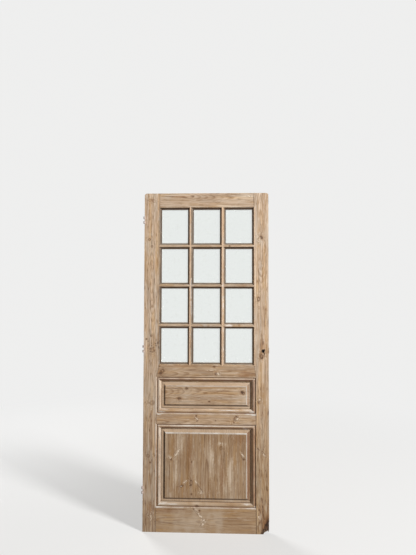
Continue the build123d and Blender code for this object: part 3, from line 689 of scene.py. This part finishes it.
MARKS["lock_stile"] = [
    ("streak", (759, 1990, 2, 30)), ("knot", (768, 1898, 7, 12, 0.3)), ("pale", (742, 1900, 12, 14),
    (748, 1872, 12, 9)), ("streak", (768, 1718, 2, 26)), ("eye", (748, 1497, 8, 13)),
    ("ghost", (751, 1440, 5, 9)), ("streak", (783, 1340, 2.5, 26), (777, 1214, 4, 24, -0.15)),
    ("eye", (768, 1126, 10, 13)), ("knot", (772, 1120, 4, 6), (748, 832, 6, 9)),
    ("streak", (748, 892, 2, 26)), ("pale", (752, 848, 12, 12)), ("streak", (762, 715, 3, 26)),
    ("pale", (745, 532, 14, 5, 0.9)), ("streak", (778, 512, 4, 16, 0.9)),
    ("pale", (782, 496, 6, 12, 0.9)), ("streak", (746, 520, 3, 14, -0.3)),
    ("knot", (742, 536, 4, 7, 0.5)), ("streak", (757, 130, 3.5, 26, 0.1), (753, 72, 3.5, 18, -0.2),
    (768, 212, 3, 24, 0.1), (786, 198, 3, 22, -0.1), (765, 90, 3.5, 16, 0.15)),
    ("brown", (765, 120, 16, 60)), ("knot", (748, 152, 4, 6), (771, 172, 4, 6, 0.3)),
    ("pale", (748, 104, 6, 14, 0.2)), ("fleck", (721, 989, 5, 4, 0.5), (710, 972, 3, 5, 0.6),
    (718, 979, 2.5, 4), (724, 757, 6, 4, -0.4), (714, 770, 4, 5, -0.6), (721, 168, 5, 3.5, 0.3),
    (722, 683, 5, 3.5), (713, 672, 2.5, 5, 0.6)), ("brown", (801, 110, 7, 60), (790, 60, 18, 30)),
    ("streak", (746, 40, 3, 26, 0.1), (770, 150, 3, 34)), ("hole", (777, 1163, 9.5, 11, -0.3)),
    ("brown", (774, 1185, 14, 40)), ("streak", (772, 1232, 3, 52, 0.06), (762, 1200, 2.5, 40),
    (782, 1140, 3, 14, 0.2), (747, 68, 4, 13), (738, 41, 3, 20), (777, 150, 2.5, 20), (779, 103, 2.5, 12),
    (799, 165, 4, 28), (741, 180, 3, 13)), ("wash", (760, 110, 6, 16), (792, 160, 4, 24),
    (751, 41, 4, 18), (728, 1880, 9, 170), (727, 1480, 9, 200), (730, 1180, 8, 90)),
]
MARKS["top_rail"] = [
    ("streak", (172, 2170, 36, 3), (318, 2172, 14, 5)), ("brown", (245, 2166, 60, 7)),
    ("streak", (262, 2164, 20, 2.5), (455, 2173, 40, 2.2), (560, 2166, 40, 2), (625, 2152, 22, 3)),
    ("wash", (665, 2171, 34, 9)), ("pale", (682, 2172, 11, 8, 0.6)), ("streak", (716, 2150, 2.2, 44)),
    ("wash", (210, 2180, 60, 6), (250, 2107, 120, 6), (560, 2107, 110, 6)),
]
MARKS["glazing_rail"] = [
    ("knot", (112, 1014, 9, 8)), ("eye", (124, 1028, 12, 9)), ("knot", (104, 1058, 4, 3)),
    ("streak", (320, 1036, 26, 2.5)), ("knot", (461, 1058, 7, 5), (471, 1011, 6, 8)),
    ("pale", (488, 1012, 12, 10), (437, 1034, 24, 4, -1.0)), ("streak", (578, 1036, 40, 2)),
    ("brown", (250, 1060, 60, 8), (660, 1010, 40, 22)),
]
MARKS["upper_panel"] = [
    ("hole", (639, 895, 3.5, 5.5, 0.4), (648, 890, 2.5, 4, -0.3)), ("knot", (282, 915, 8, 7),
    (233, 850, 12, 8), (641, 892, 10, 9)), ("eye", (650, 888, 8, 9)), ("knot", (428, 832, 6, 4.5)),
    ("streak", (215, 912, 58, 2), (395, 905, 34, 1.8)), ("brown", (133, 912, 8, 16)),
    ("wash", (225, 868, 70, 7)),
]
MARKS["middle_rail"] = [
    ("knot", (345, 742, 5, 5), (350, 708, 4, 4)), ("pale", (346, 725, 8, 12, 0.5)),
    ("eye", (598, 728, 9, 14, -0.5)), ("pale", (610, 722, 12, 14, -0.6)), ("knot", (588, 701, 4, 4),
    (470, 712, 3, 3)), ("streak", (200, 700, 60, 2)), ("paint", (122, 765, 26, 6),
    (704, 768, 18, 8, -0.5), (560, 777, 60, 3), (330, 677, 90, 3.5)), ("fleck", (716, 748, 13, 3.5, -0.2),
    (104, 749, 14, 3)), ("paint", (662, 660, 12, 12, 0.8)),
]
MARKS["lower_panel"] = [
    ("pale", (176, 470, 10, 12, 0.4)), ("knot", (183, 457, 5, 5)), ("streak", (172, 400, 2.5, 52)),
    ("pale", (222, 500, 9, 26, -0.5)), ("streak", (205, 502, 3, 14, -0.4)), ("knot", (315, 445, 3, 5)),
    ("streak", (636, 482, 4, 18, 0.5)), ("pale", (648, 486, 6, 20, 0.6)), ("knot", (652, 466, 5, 5)),
    ("wash", (505, 562, 24, 10)), ("pale", (500, 566, 7, 6)), ("ghost", (505, 535, 9, 12)),
    ("eye", (312, 312, 8, 18)), ("knot", (252, 291, 8, 6, -0.6)), ("hole", (247, 288, 3, 4)),
    ("pale", (248, 289, 5, 4), (275, 318, 8, 9, -1.0)), ("streak", (368, 284, 4, 26, 0.8),
    (384, 262, 4, 12, 0.8)), ("pale", (376, 252, 13, 9), (345, 320, 6, 14, 0.6)),
    ("knot", (315, 240, 4, 6)), ("streak", (650, 312, 2.5, 26)), ("brown", (512, 350, 12, 95),
    (300, 520, 16, 90), (625, 600, 40, 30)), ("wash", (338, 410, 9, 70), (565, 380, 14, 90),
    (440, 440, 14, 110), (210, 380, 12, 80), (530, 300, 10, 60), (240, 560, 20, 60)),
    ("knot", (368, 207, 3, 9)),
]
MARKS["bottom_rail"] = [
    ("knot", (351, 167, 9, 7), (331, 150, 5, 4), (367, 141, 5, 5)), ("pale", (368, 112, 9, 34, 0.75),
    (398, 80, 14, 7), (386, 56, 11, 12, -0.6)), ("streak", (345, 128, 3, 26, 0.7), (210, 146, 90, 2.5),
    (160, 60, 75, 2.5), (560, 92, 90, 2), (640, 60, 60, 2)), ("brown", (160, 140, 90, 14)),
    ("paint", (122, 178, 22, 3.5), (104, 159, 18, 3.5), (668, 184, 26, 4.5, 0.15), (702, 164, 20, 4),
    (190, 178, 34, 3)), ("fleck", (106, 176, 8, 4, -0.6), (96, 157, 8, 2.5)),
]
MARKS["glazing_bar_hinge_side"] = [
    ("brown", (303, 2010, 8, 70)), ("streak", (304, 1992, 3, 16), (306, 2058, 3, 22)),
    ("chalk", (304, 1530, 9, 40), (308, 1610, 5, 24), (306, 1468, 6, 18)), ("brown", (305, 1190, 9, 40)),
    ("streak", (304, 1186, 4, 12)), ("chalk", (311, 1420, 6, 40)),
]
MARKS["glazing_bar_lock_side"] = [
    ("chalk", (513, 1492, 5, 14), (514, 1404, 6, 11), (512, 1352, 4, 10), (516, 1452, 6, 24),
    (515, 1300, 5, 20)), ("brown", (510, 1960, 9, 60)), ("chalk", (516, 1582, 8, 9)),
    ("brown", (514, 1690, 8, 50)),
]
MARKS["cross_bar_3_1"] = [
    ("chalk", (552, 1325, 24, 9)), ("brown", (622, 1327, 6, 8)),
]
MARKS["cross_bar_3_2"] = [("brown", (650, 1585, 40, 8))]
MARKS["cross_bar_3_3"] = [("knot", (560, 1842, 5, 4))]
MARKS["cross_bar_1_1"] = [("wash", (180, 1328, 40, 8))]
MARKS["cross_bar_2_1"] = [("brown", (400, 1322, 60, 6))]

# Each board's grain direction (True is upright), seed, level, warmth, pith, ring spacing and force
BOARDS = {
    "hinge_stile": (True, 3.1, 1.22, -0.2, 0.42, 3.4, 1.4),
    "lock_stile": (True, 7.7, 1.23, 0.0, 0.55, 3.8, 1.35),
    "top_rail": (False, 12.4, 1.1, 0.05, 0.8, 3.6, 0.95),
    "glazing_rail": (False, 19.3, 1.05, 0.92, 0.45, 3.9, 0.85),
    "middle_rail": (False, 25.8, 1.08, 0.82, 0.4, 3.4, 0.85),
    "bottom_rail": (False, 31.6, 0.91, 1.45, 0.35, 4.2, 0.45),
    "upper_panel": (False, 37.2, 1.05, 0.9, 0.6, 4.0, 0.9),
    "lower_panel": (True, 44.9, 0.88, 1.34, 0.5, 4.6, 0.68),
    "glazing_bar_hinge_side": (True, 51.5, 1.08, 0.45, 1.4, 3.0, 0.9),
    "glazing_bar_lock_side": (True, 58.1, 1.16, 0.15, -0.6, 3.0, 0.9),
}
for column in (1, 2, 3):
    for row in (1, 2, 3):
        bar = (False, 60.0 + 7.3 * column + 2.9 * row, 1.1, 0.25, 1.5, 3.0, 0.9)
        BOARDS[f"cross_bar_{column}_{row}"] = bar


# The other finishes


def old_paint_on_iron():
    """Cream paint, chipped at the edges and over rust."""
    material, net, shader = blank_material("hinge_iron")
    point = net.place()
    coarse = net.cloud(point, 130.0, 4.0, 0.6)
    fine = net.cloud(point, 700.0, 3.0)
    soft_normal, flatness = net.edges(0.9 * MM)
    edge = net.ramp(flatness, 0.99, 0.85, 0.0, 0.16)
    chip = net.ramp(net.add(net.add(coarse, edge), net.times(fine, 0.08)), 0.62, 0.66)
    paint = net.mix(net.ramp(coarse, 0.35, 0.6), (0.56, 0.47, 0.43), (0.36, 0.285, 0.25))
    iron = net.mix(net.ramp(fine, 0.4, 0.6), (0.085, 0.07, 0.06), (0.20, 0.095, 0.05))
    net.coat(shader, net.mix(chip, paint, iron), net.add(net.times(chip, 0.22), 0.5))
    height = net.add(net.times(chip, -1.0), net.times(fine, 0.25))
    net.bump(shader, height, 0.25, 0.7, Normal=soft_normal)
    return material


def black_iron():
    """The lock's case, seen only down its keyhole: black iron, greasy and rusted in patches."""
    material, net, shader = blank_material("lock_case_iron")
    cloud = net.cloud(net.place(), 160.0, 4.0)
    iron = net.mix(net.ramp(cloud, 0.45, 0.65), (0.022, 0.02, 0.018), (0.075, 0.04, 0.025))
    net.coat(shader, iron, net.ramp(cloud, 0.3, 0.7, 0.45, 0.8))
    net.bump(shader, cloud, 0.3, 0.5)
    return material


def worn_steel():
    """Dull grey steel with brushed streaks, paint smears and specks of rust."""
    material, net, shader = blank_material("lock_iron")
    point = net.place()
    brushed = net.cloud(point, (900.0, 60.0, 900.0))
    cloud = net.cloud(point, (150.0, 90.0, 150.0), 4.0)
    steel = net.mix(net.ramp(brushed, 0.35, 0.65), (0.50, 0.49, 0.47), (0.40, 0.39, 0.375))
    rust = net.ramp(cloud, 0.56, 0.68)
    steel = net.mix(net.times(rust, 0.8), steel, (0.22, 0.115, 0.06))
    smear = net.ramp(cloud, 0.42, 0.34)
    steel = net.mix(net.times(smear, 0.8), steel, (0.62, 0.585, 0.54))
    net.coat(shader, steel, net.add(net.times(rust, 0.3), net.add(net.times(brushed, 0.16), 0.36)))
    net.put(shader.inputs["Metallic"], net.less(0.85, net.times(net.most(rust, smear), 0.8)))
    net.bump(shader, net.add(net.times(brushed, 0.3), net.times(rust, 0.7)), 0.15, 0.5)
    return material


def dry_putty():
    """Old putty: off-white, knifed unevenly, with dirt and fine cracks."""
    material, net, shader = blank_material("putty")
    x, z, depth = point = net.place()
    lump = net.cloud(point, 40.0, 4.0, 0.6)
    grit = net.cloud(point, 900.0)
    bend = net.times(net.less(grit, 0.5), 0.6)
    bent = net.vector(net.add(net.times(x, 45.0), bend), net.times(z, 45.0), net.times(depth, 60.0))
    cells = net.node("ShaderNodeTexVoronoi", {"Vector": bent, "Scale": 1.0}, feature="DISTANCE_TO_EDGE")
    crack = net.times(net.ramp(cells.outputs["Distance"], 0.035, 0.0), net.ramp(lump, 0.5, 0.62))
    base = net.mix(net.ramp(lump, 0.35, 0.65), (0.56, 0.52, 0.44), (0.42, 0.375, 0.30))
    base = net.mix(net.ramp(grit, 0.55, 0.75, 0.0, 0.4), base, (0.36, 0.32, 0.26))
    base = net.mix(net.times(crack, 0.6), base, DIRT_AND_SHADE)
    net.coat(shader, base, net.ramp(grit, 0.3, 0.7, 0.78, 0.92))
    net.bump(shader, net.less(net.add(net.times(lump, 2.0), net.times(grit, 0.3)), crack), 0.6, 0.6)
    return material


def old_glass(name, seed):
    """A pane of drawn glass: faint waves, dust towards its edges and a few specks."""
    material, net, shader = blank_material(name)
    x, z = net.place()[:2]
    inside = net.times(net.group(OPENINGS, {"X": x, "Z": z})["Pane"], -1.0)
    cloud = net.noise(net.times(x, 22.0), net.times(z, 22.0), seed, detail=4.0, rough=0.62)
    fine = net.noise(net.times(x, 300.0), net.times(z, 300.0), seed, detail=2.0)
    rim = net.ramp(net.add(inside, net.times(cloud, 8.0)), 15.0, 3.0)
    dust = net.add(net.times(rim, 0.13), net.ramp(cloud, 0.5, 0.72, 0.01, 0.06))
    dust = net.times(dust, net.ramp(fine, 0.2, 0.8, 0.5, 1.0))
    film = net.least(net.add(dust, net.ramp(fine, 0.80, 0.83, 0.0, 0.3)), 1.0)
    net.coat(shader, (0.93, 0.965, 0.95), 0.03)
    shader.inputs["IOR"].default_value = 1.5
    shader.inputs["Transmission Weight"].default_value = 1.0
    net.bump(shader, net.noise(net.times(x, 9.0), net.times(z, 3.0), seed, detail=1.0), 1.2, 0.35)
    chalk = net.node("ShaderNodeBsdfDiffuse", {"Color": (0.62, 0.61, 0.56)})
    clear = net.node("ShaderNodeBsdfTransparent", {"Color": (0.93, 0.96, 0.945)})
    shadow = net.node("ShaderNodeLightPath", {}).outputs["Is Shadow Ray"]
    both = net.blend(shadow, net.blend(film, shader, chalk), clear)
    net.put(net.tree.nodes["Material Output"].inputs["Surface"], both.outputs[0])
    return material


def broken_wood():
    """Dark torn fibres where the foot of the lock stile is broken away."""
    material, net, shader = blank_material("broken_wood")
    point = net.place()
    fibre = net.cloud(point, (600.0, 22.0, 600.0), 3.0)
    cloud = net.cloud(point, (60.0, 30.0, 60.0))
    base = net.mix(net.ramp(fibre, 0.35, 0.65), (0.13, 0.075, 0.042), (0.045, 0.025, 0.015))
    base = net.mix(net.ramp(cloud, 0.5, 0.7, 0.0, 0.6), base, (0.26, 0.17, 0.105))
    net.coat(shader, base, net.add(net.times(fibre, 0.2), 0.7))
    net.bump(shader, fibre, 0.5, 0.8)
    return material


def dress(node, material):
    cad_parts[node].data.materials.clear()
    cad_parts[node].data.materials.append(material)


HINGES = ("bottom", "middle", "top")
for name, board in BOARDS.items():
    dress(name, pine(name, MARKS.get(name, []), *board))
hinge_iron = old_paint_on_iron()
lock_iron = worn_steel()
for place in HINGES:
    dress(f"hinge_leaf_{place}", hinge_iron)
dress("lock_case", black_iron())
for name in ("lock_faceplate", "lock_bolt"):
    dress(name, lock_iron)
dress("putty", dry_putty())
for column in (1, 2, 3):
    for row in (1, 2, 3, 4):
        name = f"pane_{column}_{row}"
        dress(name, old_glass(name, 3.0 * column + 11.0 * row))


# Pieces that the solids leave out

# A screw head's size, its section as (share of the radius, share of the rise), the steps round half of
# it, and how deep it sits in its plate
SCREW_RADIUS, SCREW_SLOT, SCREW_RISE = 3.3 * MM, 0.45 * MM, 0.32 * MM
SCREW_PROFILE = ((1.0, -0.5), (1.0, 0.55), (0.9, 0.85), (0.72, 1.0))
SCREW_STEPS = 14
SCREW_DEPTH = 0.1 * MM

# Depth and height of the screws from a hinge leaf's middle, in millimetres, and the distance of the
# faceplate's screws from its ends
HINGE_SCREWS = ((-8.0, -27.0), (1.5, 0.0), (-8.0, 27.0))
FACEPLATE_SCREW_INSET = 11 * MM

# The edge of the broken foot as (distance from the hinge edge, height), in millimetres, and the sections
# of a torn fibre as (share of its length, share of its width)
BREAK = ((770.8, 0.0), (783.0, 5.9), (793.9, 13.2), (806.1, 19.4), (812.8, 22.0))
SLIVER = ((0.0, 1.0), (0.4, 0.8), (0.75, 0.45), (1.0, 0.08))


def to_mesh(shape, name):
    mesh = bpy.data.meshes.new(name)
    shape.to_mesh(mesh)
    shape.free()
    return mesh


def new_object(name, data):
    made = bpy.data.objects.new(name, data)
    bpy.context.scene.collection.objects.link(made)
    return made


def add_piece(name, shape, material):
    bmesh.ops.recalc_face_normals(shape, faces=shape.faces)
    mesh = to_mesh(shape, name)
    mesh.materials.append(material)
    piece = new_object(name, mesh)
    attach(piece, "root")


def join_rings(shape, lower, upper):
    """A strip of faces between two rings of equally many points."""
    count = len(lower)
    for step in range(count):
        other = (step + 1) % count
        shape.faces.new((lower[step], lower[other], upper[other], upper[step]))


def half_head(shape, side, turn):
    """One side of a slotted screw head: a D-shaped step with a worn upper edge."""
    rings = []
    for shrink, height in SCREW_PROFILE:
        reach = SCREW_RADIUS * shrink
        start = math.asin(min(0.9, SCREW_SLOT / reach))
        ring = []
        for step in range(SCREW_STEPS + 1):
            angle = start + (math.pi - 2 * start) * step / SCREW_STEPS
            point = Vector((reach * math.cos(angle), side * reach * math.sin(angle)))
            point.rotate(Matrix.Rotation(turn, 2))
            ring.append(shape.verts.new((point.x, point.y, SCREW_RISE * height)))
        rings.append(ring)
    for lower, upper in zip(rings, rings[1:]):
        join_rings(shape, lower, upper)
    shape.faces.new(rings[-1])


def screw_head(name, place, facing, turn, material):
    """A slotted countersunk screw at a place, facing along X."""
    shape = bmesh.new()
    for side in (1, -1):
        half_head(shape, side, turn)
    swing = Matrix.Rotation(math.radians(90 * facing), 4, "Y")
    bmesh.ops.transform(shape, matrix=Matrix.Translation(place) @ swing, verts=shape.verts)
    add_piece(name, shape, material)


chance = random.Random(20)
for place in HINGES:
    low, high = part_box(f"hinge_leaf_{place}")
    middle = (low.z + high.z) / 2
    for index, (y, rise) in enumerate(HINGE_SCREWS):
        name = f"hinge_screw_{place}_{index + 1}"
        where = Vector((SCREW_DEPTH, y * MM, middle + rise * MM))
        screw_head(name, where, -1, chance.uniform(0, 3.1), hinge_iron)
plate_low, plate_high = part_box("lock_faceplate")
for index, z in enumerate((plate_low.z + FACEPLATE_SCREW_INSET, plate_high.z - FACEPLATE_SCREW_INSET)):
    where = Vector((WIDTH - SCREW_DEPTH, 0, z))
    screw_head(f"faceplate_screw_{index + 1}", where, 1, chance.uniform(0, 3.1), lock_iron)


def sliver(shape, x, y, top, foot, width, lean):
    """One torn fibre, in millimetres: a four-sided spike that hangs from the break, pointing down."""
    x, y, top, foot, width, lean = (value * MM for value in (x, y, top, foot, width, lean))
    rings = []
    for share, size in SLIVER:
        z = top + (foot - top) * share
        shift = lean * share
        half = width * size / 2
        corners = ((-half, -half * 0.6), (half, -half * 0.6), (half, half * 0.6), (-half, half * 0.6))
        rings.append([shape.verts.new((x + shift + a, y + b, z)) for a, b in corners])
    for upper, lower in zip(rings, rings[1:]):
        join_rings(shape, upper, lower)
    shape.faces.new(rings[0])
    shape.faces.new(rings[-1])


def break_height(x):
    """The broken edge's height at a distance from the hinge edge, in millimetres."""
    for (x0, z0), (x1, z1) in zip(BREAK, BREAK[1:]):
        if x <= x1:
            return z0 + (z1 - z0) * (x - x0) / (x1 - x0)
    return BREAK[-1][1]


def hang_from_break(shape):
    """A fibre along the broken edge, reaching some way down to the foot."""
    x = chance.uniform(777.0, 811.0)
    top = break_height(x)
    length = chance.uniform(0.25, 0.85) * top
    y = chance.uniform(-2.5, 14.0)
    width = chance.uniform(1.4, 4.2)
    sliver(shape, x, y, top + 4.0, max(1.0, top - length), width, chance.uniform(-1.5, 1.0))


def hang_from_face(shape):
    """A fibre in the face above the broken edge, higher near the lock edge."""
    x = chance.uniform(780.0, 811.0)
    head = 34.0 if x < 800.0 else chance.uniform(38.0, 70.0)
    foot = head - chance.uniform(6.0, 17.0)
    y = chance.uniform(-14.0, -5.0)
    width = chance.uniform(1.4, 3.6)
    sliver(shape, x, y, head + 3.0, foot, width, chance.uniform(-0.8, 0.8))


shape = bmesh.new()
for _ in range(44):
    hang_from_break(shape)
for _ in range(30):
    hang_from_face(shape)
add_piece("splinters", shape, broken_wood())


# Floor, light and camera

BACKDROP = (0.86, 0.86, 0.855)
UNDER_LEAF = (0.4, 0.0, 0.0)

# The camera as fitted to the photograph: its place in metres, its yaw, pitch and roll in degrees, and
# the photograph's focal length and height in its own pixels
CAMERA_PLACE = (0.5085, -2.7364, 1.5408)
CAMERA_ANGLES = (-1.887, 2.005, 0.127)
FOCAL_PIXELS, PHOTO_HEIGHT = 417.0, 555.0
SENSOR = 36.0


def make_floor():
    shape = bmesh.new()
    bmesh.ops.create_grid(shape, x_segments=8, y_segments=8, size=30.0)
    mesh = to_mesh(shape, "floor")
    material, net, shader = blank_material("floor")
    seen = net.seen()
    net.coat(shader, net.mix(seen, (0.14, 0.13, 0.12), (0.72, 0.715, 0.705)), 0.9)
    shader.inputs["Specular IOR Level"].default_value = 0.0
    point = net.node("ShaderNodeTexCoord", {}).outputs["Object"]
    away = net.node("ShaderNodeVectorMath", {0: point, 1: UNDER_LEAF}, operation="DISTANCE")
    far = net.times(seen, net.ramp(away.outputs["Value"], 0.6, 4.0, 0.45, 1.0))
    both = net.blend(far, shader, net.node("ShaderNodeEmission", {"Color": BACKDROP}))
    net.put(net.tree.nodes["Material Output"].inputs["Surface"], both.outputs[0])
    mesh.materials.append(material)
    floor = new_object("floor", mesh)


def make_world():
    world = bpy.data.worlds.new("studio")
    bpy.context.scene.world = world
    world.use_nodes = True
    tree = world.node_tree
    tree.nodes.clear()
    net = Net(tree)
    pale = net.node("ShaderNodeBackground", {"Color": BACKDROP})
    soft = net.node("ShaderNodeBackground", {"Color": (1.0, 0.965, 0.92), "Strength": 0.17})
    leave = tree.nodes.new("ShaderNodeOutputWorld")
    net.put(leave.inputs["Surface"], net.blend(net.seen(), soft, pale).outputs[0])


def make_lamp(name, place, aim, size, power, mirrored):
    """A soft square lamp that no camera sees; the glass mirrors it only if told to."""
    data = bpy.data.lights.new(name, "AREA")
    data.size = size
    data.energy = power
    lamp = new_object(name, data)
    lamp.location = place
    lamp.visible_camera = False
    lamp.visible_transmission = False
    lamp.visible_glossy = mirrored
    lamp.rotation_euler = (Vector(aim) - Vector(place)).to_track_quat("-Z", "Y").to_euler()


def make_camera():
    """The photograph's place and angle; the sensor's size goes along the frame's long side."""
    yaw, pitch, roll = (math.radians(angle) for angle in CAMERA_ANGLES)
    ahead = Vector((math.sin(yaw) * math.cos(pitch), math.cos(yaw) * math.cos(pitch), math.sin(pitch)))
    level = Vector((math.cos(yaw), -math.sin(yaw), 0.0))
    upright = level.cross(ahead)
    right = level * math.cos(roll) + upright * math.sin(roll)
    up = upright * math.cos(roll) - level * math.sin(roll)
    data = bpy.data.cameras.new("camera")
    data.sensor_width = SENSOR
    data.lens = SENSOR * FOCAL_PIXELS / PHOTO_HEIGHT
    camera = new_object("camera", data)
    turn = Matrix((right, up, -ahead)).transposed().to_4x4()
    camera.matrix_world = Matrix.Translation(CAMERA_PLACE) @ turn
    bpy.context.scene.camera = camera


make_floor()
make_world()
make_lamp("key", (9.4, -6.0, 5.65), (0.4, 0.0, 1.15), 1.8, 2150.0, True)
make_lamp("behind", (-3.6, 4.4, 3.4), (0.4, 0.0, 1.1), 2.4, 300.0, False)
make_camera()
bpy.context.scene.view_settings.view_transform = "Standard"
